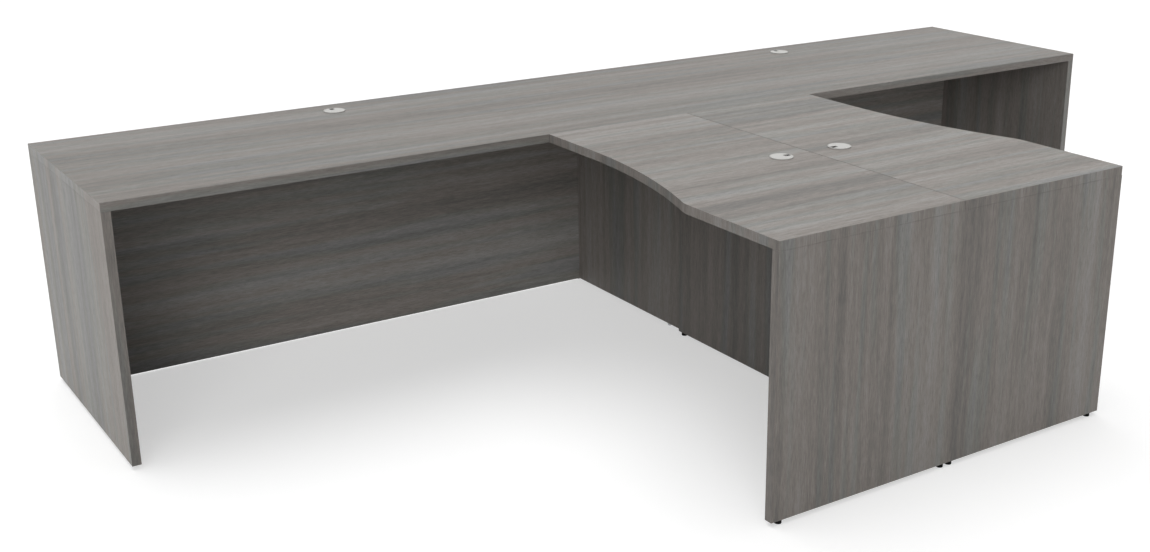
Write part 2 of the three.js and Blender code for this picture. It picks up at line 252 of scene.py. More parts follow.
class DESK_PG_fittings(bpy.types.PropertyGroup):
    cap_grey: colour("Cap Grey", "Colour of the cam caps", (0.21, 0.205, 0.195))
    cam_cap: sizes("Cam Cap", "Radius and height of the caps over the cams", (0.0085, 0.0011))
    cam_inset: length("Cam Inset", "From a board's edge to its cams", 0.034)
    seam_inset: length("Seam Inset", "From a return's inner edge to its first cam", 0.09)
    corner_inset: length("Corner Inset", "From a return's corner to its last cam", 0.06)
    bracket_corner: length("Bracket Corner", "Rounding of a bracket's corners", 0.006)
    bracket_ease: length("Bracket Ease", "Rounding of a bracket's edges", 0.0003)
    hole_radius: length("Hole Radius", "Radius of a bracket's screw holes", 0.00275)
    hole_inset: length("Hole Inset", "From a bracket's end to its first hole", 0.012)
    screw: sizes("Screw", "Radius and height of the screw heads", (0.0042, 0.0022))
    recess: sizes("Recess", "Width and reach of the cross recess's arms", (0.0009, 0.0022))


class DESK_PG_stage(bpy.types.PropertyGroup):
    floor: colour("Floor", "Colour of the floor", (0.60, 0.60, 0.60))
    floor_glow: factor("Floor Glow", "Share of white that the camera adds to the floor", 0.50)
    floor_radius: length("Floor Radius", "Radius of the floor", 90.0)
    camera_place: sizes("Camera Place", "Where the camera stands", (-2.7209, -3.5460, 1.7959))
    camera_turn: angles("Camera Turn", "How the camera is turned", (70.912, 0.0, -34.357))
    camera_lens: amount("Lens", "Focal length on a 36 mm sensor", 46.57, unit="CAMERA")
    camera_shift: values("Shift", "Shift of the lens", (-0.0654, 0.0036))
    top_light: angles("Top Light", "Its bearing, height and spread", (100, 78, 60))
    top_strength: amount("Top Strength", "Strength of the light from above", 1.97)
    front_light: angles("Front Light", "Its bearing, height and spread", (237, 22, 36))
    front_strength: amount("Front Strength", "Strength of the light from the front", 1.05)
    panel_place: sizes("Panel Place", "Middle of the light panel on the left", (-3.7, 0.6, 0.36))
    panel_size: sizes("Panel Size", "Width and height of that panel", (2.4, 0.68))
    panel_strength: amount("Panel Strength", "Power of that panel", 6.8)
    sky_strength: amount("Sky Strength", "Strength of the even light all round", 0.25)


# Shapes


class Form:
    """Points, faces and finishes of one mesh in the making."""

    def __init__(self):
        self.points = []
        self.faces = []
        self.finishes = []

    def ring(self, points):
        first = len(self.points)
        self.points.extend(points)
        return list(range(first, len(self.points)))

    def face(self, corners, finish):
        self.faces.append(tuple(corners))
        self.finishes.append(finish)

    def skin(self, lower, upper, finish):
        """Joins two rings that run the same way round. A ring of one point is a tip."""
        steps = max(len(lower), len(upper))
        lower, upper = (ring * (steps // len(ring)) for ring in (lower, upper))
        for step in range(steps):
            following = (step + 1) % steps
            corners = (lower[step], lower[following], upper[following], upper[step])
            self.face(dict.fromkeys(corners), finish)

    def lid(self, rings, flat_rings, finish, upward):
        """Closes the space inside the first ring and outside the others."""
        if len(rings) == 1:
            self.face(rings[0] if upward else rings[0][::-1], finish)
            return
        numbers = [number for ring in rings for number in ring]
        flat = [point for ring in flat_rings for point in ring]
        outlines = [[point.to_3d() for point in ring] for ring in flat_rings]
        for triangle in tessellate_polygon(outlines):
            a, b, c = (flat[corner] for corner in triangle)
            turned_left = (b - a).cross(c - a) > 0
            corners = [numbers[corner] for corner in triangle]
            self.face(corners if turned_left == upward else corners[::-1], finish)

    def mesh(self, name, materials):
        mesh = bpy.data.meshes.new(name)
        mesh.from_pydata(self.points, [], self.faces)
        for material in materials:
            mesh.materials.append(material)
        mesh.polygons.foreach_set("material_index", self.finishes)
        return mesh


def add_object(name, data):
    item = bpy.data.objects.new(name, data)
    bpy.context.collection.objects.link(item)
    return item


def signed_area(loop):
    return sum(loop[index - 1].cross(point) for index, point in enumerate(loop)) / 2


def directions(loop, index):
    """Directions of the two sides that meet at a corner of a loop."""
    corner = loop[index]
    before = (corner - loop[index - 1]).normalized()
    after = (loop[(index + 1) % len(loop)] - corner).normalized()
    return before, after


def inset(loop, distance):
    """The loop moved to its left by a distance, with mitred corners."""
    moved = []
    for index, corner in enumerate(loop):
        before, after = directions(loop, index)
        side = Vector((-before.y - after.y, before.x + after.x)).normalized()
        mitre = side.dot(Vector((-before.y, before.x)))
        moved.append(corner + side * (distance / mitre))
    return moved


def eased(points, radius, steps=4, closed=True):
    """The outline with its corners rounded, as far as the sides between them allow."""
    points = [Vector(point) for point in points]
    rounded = []
    last = len(points) - 1
    for index, corner in enumerate(points):
        if not closed and index in (0, last):
            rounded.append(corner)
            continue
        back = points[index - 1] - corner
        ahead = points[(index + 1) % len(points)] - corner
        reach = min(radius, 0.45 * back.length, 0.45 * ahead.length)
        start = corner + back.normalized() * reach
        end = corner + ahead.normalized() * reach
        for step in range(steps + 1):
            share = step / steps
            rounded.append(start.lerp(corner, share).lerp(corner.lerp(end, share), share))
    return rounded


def turns(start, sweep, steps):
    return [start + sweep * step / steps for step in range(steps + 1)]


def arc(radius, angles, middle=(0, 0)):
    return [Vector(middle) + Vector((cos(angle), sin(angle))) * radius for angle in angles]


def circle(radius, steps, middle=(0, 0), clockwise=False):
    step = -2 * pi / steps if clockwise else 2 * pi / steps
    return arc(radius, [number * step for number in range(steps)], middle)


def rectangle(left, low, right, high):
    return [(left, low), (right, low), (right, high), (left, high)]


def eased_profile(low, high, radius, steps):
    """Height and inset pairs of a wall between two heights, rounded at both ends."""
    quarter = turns(0, pi / 2, steps)[::-1]
    lower = [(low + radius * (1 - sin(angle)), radius * (1 - cos(angle))) for angle in quarter]
    return lower + [(low + high - height, side) for height, side in lower[::-1]]


def prism(form, outlines, low, high, ease, steps=3, axis=2):
    """A plate from its outlines, the outer one first, with rounded edges."""
    profile = eased_profile(low, high, ease, steps)
    loft(form, outlines, [(profile, [0] * len(profile))] * len(outlines), axis=axis)


def loft(form, outlines, walls, lid_finish=0, axis=2):
    """Walls along each outline by its own profile and finishes, and a lid at either end of them."""
    ends = [([], []), ([], [])]
    for outline, (profile, finishes) in zip(outlines, walls):
        flats = [inset(outline, side) if side else outline for _, side in profile]
        rings = [
            form.ring([in_space(point, height, axis) for point in flat])
            for flat, (height, _) in zip(flats, profile)
        ]
        for lower, upper, finish in zip(rings, rings[1:], finishes):
            form.skin(lower, upper, finish)
        for (end_rings, end_flats), place in zip(ends, (0, -1)):
            end_rings.append(rings[place])
            end_flats.append(flats[place])
    form.lid(*ends[0], lid_finish, upward=False)
    form.lid(*ends[1], lid_finish, upward=True)


def in_space(point, height, axis):
    """A point of an outline that is seen against the given axis."""
    parts = (*point, height)
    return Vector(parts[2 - axis :] + parts[: 2 - axis])


def lathe(form, profile, steps, closed=False, finish=0, middle=(0, 0)):
    """A round form from its profile of radius and height, drawn up its outer side."""
    rings = []
    for radius, height in profile:
        ring = circle(radius, steps, middle) if radius else [middle]
        rings.append(form.ring([Vector((*point, height)) for point in ring]))
    pairs = list(zip(rings, rings[1:]))
    if closed:
        pairs.append((rings[-1], rings[0]))
    for lower, upper in pairs:
        form.skin(lower, upper, finish)


def make_piece(name, form, materials, node, replaces=True):
    """A piece from a form, which rides with a solid and takes its place unless told otherwise."""
    settle(add_object(name, form.mesh(name, materials)), node, replaces)


def settle(piece, node, replaces=True, sharp_angle=radians(32)):
    """Shades a piece smoothly but for its flat faces, and tells the frame what it is."""
    piece.data.shade_smooth()
    piece.data.set_sharp_from_angle(angle=sharp_angle)
    evened = piece.modifiers.new("Even Normals", "WEIGHTED_NORMAL")
    evened.weight = 100
    evened.keep_sharp = True
    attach(piece, body_of(frame["nodes"][node])[0])
    if replaces:
        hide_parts(node)


def middle_of(node):
    low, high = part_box(node)
    return (low + high) / 2


# Boards


def board_outlines(node, axis):
    """Outlines of a board's solid, seen along its thickness: the outer one first, then its holes.

    The solid's eased edges meet its edge faces on the second level from its face.
    """
    mesh = frame["nodes"][node].data
    level = sorted({round(vertex.co[axis], 5) for vertex in mesh.vertices})[-2]
    tolerance = 0.00002
    across, up = (axis + 1) % 3, (axis + 2) % 3
    links = {}
    for edge in mesh.edges:
        ends = [mesh.vertices[number].co for number in edge.vertices]
        if all(abs(end[axis] - level) < tolerance for end in ends):
            first, second = ((round(end[across], 5), round(end[up], 5)) for end in ends)
            if first != second:
                links.setdefault(first, set()).add(second)
                links.setdefault(second, set()).add(first)
    loops = []
    waiting = set(links)
    while waiting:
        loop, here = [], min(waiting)
        while here:
            waiting.discard(here)
            loop.append(Vector(here))
            here = min((step for step in links[here] if step in waiting), default=None)
        loops.append(without_straight_points(loop))
    outer, *holes = sorted(loops, key=lambda loop: -abs(signed_area(loop)))
    turned = [outer if signed_area(outer) > 0 else outer[::-1]]
    return turned + [hole if signed_area(hole) < 0 else hole[::-1] for hole in holes]


def without_straight_points(loop):
    least_turn = 0.001
    sides = [directions(loop, index) for index in range(len(loop))]
    return [corner for corner, (a, b) in zip(loop, sides) if abs(a.cross(b)) > least_turn]


def set_back_from_seam(outline, setback):
    """Moves the corners on the desk's middle line outward, which leaves a thin dark seam."""
    outward = 1 if max(corner.x for corner in outline) > setback else -1
    for corner in outline:
        if abs(corner.x) < setback:
            corner.x += outward * setback


def band_profile(low, high, boards):
    """Profile of a board's banded edge: face, glue line, rounded band, glue line, face."""
    band = boards.band_thickness
    width, depth = boards.glue_line
    lower = [(low, band + width / 2), (low + depth, band), (low, band - width / 2)]
    upper = [(low + high - height, side) for height, side in lower[::-1]]
    return lower + eased_profile(low, high, boards.arris_radius, boards.arris_steps) + upper


def lay_grain(context, mesh, grain, sheets):
    """Gives each face the print of its sheet, and notes where each corner lies in that sheet.

    The place in the sheet is measured along the grain, across it, and in depth. The long top is
    cut from its sheet the other way round.
    """
    places = mesh.attributes.new("grain", "FLOAT_VECTOR", "CORNER").data
    for polygon in mesh.polygons:
        size = [abs(part) for part in polygon.normal]
        facing = size.index(max(size))
        along = "XYZ".index(grain[facing])
        across = 3 - facing - along
        sheet = sheets[facing]
        if polygon.material_index in (FACE, BAND):
            material = board_material(context, polygon.material_index, sheet)
            if material.name not in mesh.materials:
                mesh.materials.append(material)
            polygon.material_index = mesh.materials.find(material.name)
        for corner in polygon.loop_indices:
            point = mesh.vertices[mesh.loops[corner].vertex_index].co
            lengthwise = -point[along] if sheet == LONG_TOP else point[along]
            place = Vector((lengthwise, point[across], point[facing]))
            places[corner].vector = place + SHEET_STEP * sheet


def bore_places(node):
    """Where inserts go up into this board: on the middle of its lower edge."""
    low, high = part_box(node)
    places = []
    for name in frame["nodes"]:
        if name.endswith("_insert"):
            middle, top = middle_of(name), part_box(name)[1].z
            if low.x < middle.x < high.x and low.y < middle.y < high.y and low.z < top:
                places.append((middle.x, middle.y, low.z))
    return places


def cut_bores(piece, places, boards):
    """Bores up into a board's lower edge, for the glide inserts."""
    form = Form()
    radius, depth = boards.bore
    overrun = 0.2 * depth
    for x, y, foot in places:
        profile = rectangle(0, foot - overrun, radius, foot + depth)
        lathe(form, profile, steps=32, finish=CORE, middle=(x, y))
    bores = form.mesh("bores", piece.data.materials)
    cutter = add_object("bores", bores)
    cut = piece.modifiers.new("Bores", "BOOLEAN")
    cut.operation = "DIFFERENCE"
    cut.solver = "EXACT"
    cut.object = cutter
    graph = bpy.context.evaluated_depsgraph_get()
    bored = bpy.data.meshes.new_from_object(piece.evaluated_get(graph))
    piece.modifiers.remove(cut)
    plain, piece.data = piece.data, bored
    bpy.data.objects.remove(cutter)
    for mesh in (bores, plain):
        bpy.data.meshes.remove(mesh)
    bored.name = piece.name


def make_boards(context, layouts):
    for node, layout in layouts.items():
        make_board(context, node, layout)


def make_board(context, node, layout):
    """A board in its place: two laminate faces, banded edges, holes and bores."""
    axis, grain, sheets = layout
    boards = context.scene.desk_boards
    low, high = (corner[axis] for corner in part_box(node))
    outlines = board_outlines(node, axis)
    if node.endswith("_return_top"):
        set_back_from_seam(outlines[0], boards.seam_setback)
    banded = band_profile(low, high, boards)
    plain = eased_profile(low, high, boards.hole_arris, steps=2)
    band_finishes = [GLUE, GLUE] + [BAND] * (len(banded) - 5) + [GLUE, GLUE]
    walls = [(banded, band_finishes)] + [(plain, [CORE] * len(plain))] * (len(outlines) - 1)
    form = Form()
    loft(form, outlines, walls, FACE, axis)
    materials = [board_material(context, finish, sheets[axis]) for finish in FINISHES]
    name = f"{node}_board"
    piece = add_object(name, form.mesh(name, materials))
    places = bore_places(node)
    if places:
        cut_bores(piece, places, boards)
    lay_grain(context, piece.data, grain, sheets)
    settle(piece, node, sharp_angle=radians(50))


# Materials


def shared(name, paint, **choices):
    """The material of this name, painted on its first use."""
    material = bpy.data.materials.get(name)
    if not material:
        material = bpy.data.materials.new(name)
        material.use_nodes = True
        tree = material.node_tree
        paint(tree, tree.nodes["Principled BSDF"], **choices)
    return material


def connect(tree, source, socket):
    """Links a socket to its source, or sets it where the source is a plain value."""
    if isinstance(source, bpy.types.NodeSocket):
        tree.links.new(source, socket)
    else:
        socket.default_value = source


def add(tree, kind, links=(), **settings):
    """A node with its settings and the sources of its sockets, given by number or name."""
    node = tree.nodes.new(f"ShaderNode{kind}")
    for setting, value in settings.items():
        setattr(node, setting, value)
    for socket, source in dict(links).items():
        connect(tree, source, node.inputs[socket])
    return node


def object_place(tree):
    return add(tree, "TexCoord").outputs["Object"]


def stretched(tree, place, long, wide):
    """Coordinates in which a figure of this length and width is one unit big."""
    links = {0: place, 1: (1 / long, 1 / wide, 1 / wide)}
    return add(tree, "VectorMath", links, operation="MULTIPLY").outputs[0]


def noise(tree, place, detail=2.0, roughness=0.5, scale=1.0):
    links = {"Vector": place, "Scale": scale, "Detail": detail, "Roughness": roughness}
    return add(tree, "TexNoise", links).outputs[0]


def maths(tree, operation, *sources):
    return add(tree, "Math", enumerate(sources), operation=operation).outputs[0]


def between(tree, value, low, high, to_low=0.0, to_high=1.0):
    links = {"Value": value, "From Min": low, "From Max": high, "To Min": to_low, "To Max": to_high}
    return add(tree, "MapRange", links).outputs[0]


def ramp(tree, value, stops):
    node = add(tree, "ValToRGB", {0: value})
    elements = node.color_ramp.elements
    while len(elements) < len(stops):
        elements.new(0.5)
    for element, (place, shade) in zip(elements, stops):
        element.position = place
        element.color = (*shade, 1)
    return node.outputs[0]


def shaded(tint, shade):
    return [part * shade for part in tint]


def mottled(tree, value, first, second):
    """Colours that pass from the first to the second over the middle values of a noise."""
    return ramp(tree, value, [(0.3, first), (0.7, second)])


def blend_colours(tree, share, first, second):
    links = {0: share, 6: first, 7: second}
    return add(tree, "Mix", links, data_type="RGBA").outputs[2]


def dress(tree, surface, colours, roughness, gloss=0.5):
    connect(tree, colours, surface.inputs["Base Color"])
    connect(tree, roughness, surface.inputs["Roughness"])
    surface.inputs["Specular IOR Level"].default_value = gloss


def emboss(tree, surface, height, depth, strength, invert=False):
    links = {"Strength": strength, "Distance": depth, "Height": height}
    bump = add(tree, "Bump", links, invert=invert)
    connect(tree, bump.outputs[0], surface.inputs["Normal"])


def board_material(context, finish, sheet):
    """The print on a board's faces or bands, its bare core, or the glue line inside a band."""
    look = context.scene.desk_laminate
    if finish == CORE:
        return shared("Particle Board", particle_board, look=look)
    if finish == GLUE:
        return shared("Glue Line", glue_line, look=look)
    name = f"{SHEETS[sheet]} {'Laminate' if finish == FACE else 'Edge Band'}"
    roughness = look.face_roughness if finish == FACE else look.band_roughness
    return shared(name, laminate, look=look, sheet=sheet, roughness=roughness)


def laminate(tree, surface, look, sheet, roughness):
    """Printed laminate with streaks, flecks, fibres and pressed pores along its grain."""
    place = add(tree, "Attribute", attribute_name="grain").outputs["Vector"]
    place = swayed(tree, place, look)

    # The layers add up to a tone that swings about nought, and then about one half.
    tone = -sum(getattr(look, layer)[2] for layer in FIGURE_LAYERS) / 2
    for layer, (detail, grit) in FIGURE_LAYERS.items():
        long, wide, weight = getattr(look, layer)
        figure = noise(tree, stretched(tree, place, long, wide), detail, grit)
        tone = maths(tree, "MULTIPLY_ADD", figure, weight, tone)
    tone = maths(tree, "MULTIPLY_ADD", tone, look.sheet_figures[sheet], 0.5)

    # The sheet's own tone, and painted shade on the sheets that stand in shade
    shade = look.sheet_tone_and_painted_shade[sheet]
    tints = (look.dark, look.brown, look.green, look.blue, look.light)
    dark, *middles, light = (shaded(tint, shade) for tint in tints)
    stops = [[(0.0, dark), (0.5, middle), (1.0, light)] for middle in middles]
    brown, green, blue = (ramp(tree, tone, colours) for colours in stops)
    hue = noise(tree, stretched(tree, place, *look.patches))
    hue = maths(tree, "SUBTRACT", hue, look.sheet_warmths[sheet])
    cool = blend_colours(tree, between(tree, hue, low=0.62, high=0.52), blue, green)
    ground = blend_colours(tree, between(tree, hue, low=0.44, high=0.54), brown, cool)

    dashes = noise(tree, stretched(tree, place, *look.pores), detail=1.0)
    pores = between(tree, dashes, low=0.58, high=0.68)
    pored = maths(tree, "MULTIPLY", pores, look.pore_darkness)
    colours = blend_colours(tree, pored, ground, (*dark, 1))
    pore_roughness = 0.12
    rough = maths(tree, "MULTIPLY_ADD", pores, pore_roughness, roughness)
    dress(tree, surface, colours, rough, look.gloss)
    emboss(tree, surface, pores, look.pore_depth, strength=0.6, invert=True)


def swayed(tree, place, look):
    """The place in the sheet, moved across the grain by a slow sway and by quicker ripples."""
    aside = 0.0
    for long, wide, reach in (look.sway, look.ripple):
        wave = noise(tree, stretched(tree, place, long, wide), detail=1.0)
        centred = maths(tree, "SUBTRACT", wave, 0.5)
        aside = maths(tree, "MULTIPLY_ADD", centred, 2 * reach, aside)
    shift = add(tree, "CombineXYZ", {1: aside}).outputs[0]
    return add(tree, "VectorMath", {0: place, 1: shift}, operation="ADD").outputs[0]


def glue_line(tree, surface, look):
    """Dark line of glue between a face and its edge band."""
    uneven = noise(tree, object_place(tree), scale=120.0)
    colours = mottled(tree, uneven, look.glue, shaded(look.glue, 1.6))
    dress(tree, surface, colours, roughness=0.7)


def particle_board(tree, surface, look):
    """Bare particle board inside holes and bores."""
    links = {"Vector": object_place(tree), "Scale": 700.0}
    chips = add(tree, "TexVoronoi", links).outputs["Color"]
    value = add(tree, "SeparateColor", {0: chips}).outputs[0]
    colours = ramp(tree, value, [(0.0, look.dark_chips), (1.0, look.light_chips)])
    dress(tree, surface, colours, roughness=0.85)


def moulded(tree, surface, tint, roughness, cast_depth=0.00003, gloss=0.3):
    """Moulded plastic with a faint cast texture and a little unevenness of colour."""
    place = object_place(tree)
    uneven = noise(tree, place, detail=3.0, scale=60.0)
    cast = noise(tree, place, scale=2400.0)
    spread = 0.12
    rough = maths(tree, "MULTIPLY_ADD", cast, spread, roughness - spread / 2)
    dress(tree, surface, mottled(tree, uneven, shaded(tint, 0.93), tint), rough, gloss)
    emboss(tree, surface, cast, cast_depth, strength=0.5)


def zinc_plate(tree, surface, tint):
    """Bright zinc plate with fine drawn lines and dull patches."""
    place = object_place(tree)
    dull = noise(tree, place, detail=3.0, scale=160.0)
    rough = between(tree, dull, low=0.2, high=0.8, to_low=0.28, to_high=0.46)
    dress(tree, surface, mottled(tree, dull, shaded(tint, 0.8), tint), rough)
    surface.inputs["Metallic"].default_value = 1.0
    drawn_lines = noise(tree, stretched(tree, place, long=0.02, wide=0.0004))
    emboss(tree, surface, drawn_lines, depth=0.00002, strength=0.3)


def zinc_steel(context):
    return shared("Zinc Plate", zinc_plate, tint=context.scene.desk_glides.zinc)


# Pieces


class DESK_OT_worktops(bpy.types.Operator):
    """Make the long worktop and the two return tops"""

    bl_idname = "desk.worktops"
    bl_label = "Worktops"

    def execute(self, context):
        make_boards(context, WORKTOPS)
        return {"FINISHED"}


class DESK_OT_uprights(bpy.types.Operator):
    """Make the end panels, the centre support panel and the uprights of the returns"""

    bl_idname = "desk.uprights"
    bl_label = "Uprights"

    def execute(self, context):
        make_boards(context, UPRIGHTS)
        return {"FINISHED"}


class DESK_OT_back_panels(bpy.types.Operator):
    """Make the two back panels"""

    bl_idname = "desk.back_panels"
    bl_label = "Back Panels"

    def execute(self, context):
        make_boards(context, BACK_PANELS)
        return {"FINISHED"}


class DESK_OT_grommets(bpy.types.Operator):
    """Make the liner and the slotted cap of each cable grommet"""

    bl_idname = "desk.grommets"
    bl_label = "Grommets"

    def execute(self, context):
        look = context.scene.desk_grommets
        plastic = shared("Grommet Plastic", moulded, tint=look.plastic, roughness=0.42)
        # Painted shade for the inside of the liners
        inside = shared("Grommet Inside", moulded, tint=look.inside, roughness=0.6)
        for name in GROMMETS:
            liner, cap = f"{name}_grommet_liner", f"{name}_grommet_cap"
            low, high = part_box(liner)
            base = low.z + look.sleeve_length
            middle = middle_of(liner)
            form = self.liner(look, flange=(high.x - low.x) / 2, rim_height=high.z - base)
            place_piece(form, liner, [plastic, inside], middle, base)
            slot_turn = pi / 2 if name.endswith("rear") else (0 if middle.x < 0 else pi)
            low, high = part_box(cap)
            radius = max(high.x - middle.x, middle.x - low.x)
            form = self.cap(look, radius, low.z - base, high.z - base)
            place_piece(form, cap, [plastic], middle, base, slot_turn)
        return {"FINISHED"}

    def liner(self, look, flange, rim_height):
        """A sleeve with a flange, a rim and a ledge, drawn up its outer side and back down."""
        sleeve = flange - look.flange_reach
        bore = sleeve - look.sleeve_wall
        inside = flange - look.rim_width
        foot, flange_gap, ledge = -look.sleeve_length, 0.0002, look.ledge_height
        outer_side = [(bore, foot), (sleeve, foot), (sleeve, flange_gap), (flange, flange_gap)]
        inner_side = [(flange, rim_height), (inside, rim_height), (inside, ledge), (bore, ledge)]
        rounded = eased(outer_side + inner_side, look.liner_ease)
        form = Form()
        lathe(form, rounded, look.steps, closed=True)

        # The last quarter of the profile, from the ledge's outer edge on, is the dark inside: painted
        # shade on the liner's pale plastic.
        inner_faces = len(rounded) // 4 * look.steps
        form.finishes[-inner_faces:] = [1] * inner_faces
        return form

    def cap(self, look, radius, skirt_low, top):
        """A slotted disc over a skirt that is open at the slot."""
        underside = top - look.cap_thickness
        form = Form()
        prism(form, [self.slotted_disc(look, radius)], underside, top, look.cap_ease)
        outer, wall = look.skirt
        past_slot, overlap = 0.01, 0.0001
        angles = self.round_to_slot(look, atan2(look.slot_width / 2, outer) + past_slot)
        skirt = arc(outer, angles) + arc(outer - wall, angles[::-1])
        prism(form, [skirt], skirt_low, underside + overlap, ease=0.0002, steps=2)
        return form

    def slotted_disc(self, look, radius):
        half, corner = look.slot_width / 2, look.slot_corner
        disc = arc(radius, self.round_to_slot(look, atan2(half, (radius**2 - half**2) ** 0.5)))
        end, side = look.slot_start + corner, half - corner
        low_corner = arc(corner, turns(-pi / 2, -pi / 2, steps=8), (end, -side))
        high_corner = arc(corner, turns(pi, -pi / 2, steps=8), (end, side))
        return disc + low_corner + high_corner

    def round_to_slot(self, look, start):
        """Angles from one side of the slot all round to the other."""
        return turns(start, 2 * pi - 2 * start, look.steps)


def place_piece(form, node, materials, middle, base, turn=0.0):
    """A round or turned piece of a form made on the origin, in a solid's place."""
    spot = Matrix.Translation((middle.x, middle.y, base)) @ Matrix.Rotation(turn, 4, "Z")
    form.points = [spot @ point for point in form.points]
    make_piece(f"{node}_piece", form, materials, node)


class DESK_OT_glides(bpy.types.Operator):
    """Make the levelling glides and the inserts that their stems screw into"""

    bl_idname = "desk.glides"
    bl_label = "Levelling Glides"

    def execute(self, context):
        look = context.scene.desk_glides
        zinc = zinc_steel(context)
        finish = {"tint": look.black, "roughness": 0.5, "cast_depth": 0.00002, "gloss": 0.06}
        black = shared("Black Plastic", moulded, **finish)
        for name in DESK_GLIDES + RETURN_GLIDES:
            domed = name in DESK_GLIDES
            glide, insert = f"{name}_glide", f"{name}_insert"
            low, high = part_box(glide)
            radius = (high.x - low.x) / 2
            foot = self.domed_foot(look, radius) if domed else self.plain_foot(look, radius)
            form = Form()
            lathe(form, foot + self.stem(look, high.z - low.z), look.steps)
            material, slot = (zinc, "zinc_steel") if domed else (black, "black_plastic")
            place_piece(form, glide, [material], middle_of(glide), low.z)
            low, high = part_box(insert)
            form = self.insert(look, (high.x - low.x) / 2, high.z - low.z)
            place_piece(form, insert, [zinc], middle_of(insert), low.z)
        return {"FINISHED"}

    def domed_foot(self, look, radius):
        top, sole, ease = look.foot_height, look.sole_radius, 0.0004
        out, rise = radius - sole, top - look.shoulder
        quarter = turns(0, pi / 2, steps=10)
        dome = [(sole + out * sin(angle), rise * (1 - cos(angle))) for angle in quarter]
        return [(0.0, 0.0), *dome, (radius, top - ease), (radius - ease, top)]

    def plain_foot(self, look, radius):
        corners = rectangle(0.0, 0.0, radius, look.foot_height)
        return eased(corners, look.edge_radius, steps=5, closed=False)[:-1]

    def stem(self, look, height):
        """Threads up to the tip, as rings of a saw-tooth profile."""
        foot, crest = look.foot_height, look.stem_radius
        pitch, depth = look.thread
        root = crest - depth
        profile = [(root, foot)]
        for turn in range(int((height - foot - 2 * pitch) / pitch)):
            low = foot + pitch * (turn + 0.5)
            profile += [(root, low), (crest, low + pitch / 2)]
        tip = 0.8 * root
        return profile + [(root, height - pitch), (tip, height), (0.0, height)]

    def insert(self, look, flange, height):
        """A flanged sleeve with barbs, each widest at its foot."""
        bore, sleeve = look.stem_radius + look.running_gap, look.sleeve_radius
        thick = look.flange_thickness
        barbs, ease = 4, 0.0002
        rise = (height - thick) / barbs
        profile = [(bore, 0.0), (flange, 0.0), (flange, thick)]
        for barb in range(barbs):
            foot = thick + rise * barb
            profile += [(sleeve, foot + ease), (sleeve - look.barb_depth, foot + rise)]
        form = Form()
        lathe(form, eased([*profile, (bore, height)], ease, steps=2), look.steps, closed=True)
        return form


class DESK_OT_brackets(bpy.types.Operator):
    """Make the joining brackets below the worktops, with their screws"""

    bl_idname = "desk.brackets"
    bl_label = "Joining Brackets"

    def execute(self, context):
        look = context.scene.desk_fittings
        zinc = zinc_steel(context)
        for node in BRACKETS:
            low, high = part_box(node)
            outline = eased(rectangle(*low.xy, *high.xy), look.bracket_corner, steps=6)
            spots = self.screw_places(look, low, high)
            holes = [circle(look.hole_radius, steps=24, middle=spot, clockwise=True) for spot in spots]
            form = Form()
            prism(form, [outline, *holes], low.z, high.z, look.bracket_ease)
            make_piece(f"{node}_plate", form, [zinc], node)
            for number, spot in enumerate(spots, start=1):
                form = self.screw_head(look, spot, low.z)
                name = f"{node}_screw_{number}"
                make_piece(name, form, [zinc], node, replaces=False)
        return {"FINISHED"}

    def screw_places(self, look, low, high):
        middle = (low + high) / 2
        near = look.hole_inset
        lengthwise = (low.y + near, middle.y - near, middle.y + near, high.y - near)
        return [(middle.x, y) for y in lengthwise]

    def screw_head(self, look, spot, underside):
        """A pan head with a cross recess, hanging below a plate."""
        radius, height = look.screw
        head = circle(radius, steps=32, middle=spot)
        recess = [Vector(spot) + corner for corner in self.cross(*look.recess)][::-1]
        low, deep = underside - height, underside - 0.35 * height

        # Height and inset of each ring, from the crown up to the straight wall
        domed = [(low, 0.0016), (low + 0.0003, 0.0008), (low + 0.0009, 0.0002), (deep, 0.0)]
        straight = [(level, 0.0) for level, _ in domed]
        form = Form()
        loft(form, [head, recess], [(domed, [0] * 3), (straight, [0] * 3)])
        prism(form, [head], deep, underside - SEAT_GAP, ease=SEAT_GAP / 2, steps=1)
        return form

    def cross(self, width, reach):
        """Outline of the recess: three corners of one arm, turned to each of four quarters."""
        side = width / 2
        corners = [Vector((reach, -side)), Vector((reach, side)), Vector((side, side))]
        outline = []
        for _ in range(4):
            outline += corners
            corners = [Vector((-corner.y, corner.x)) for corner in corners]
        return outline


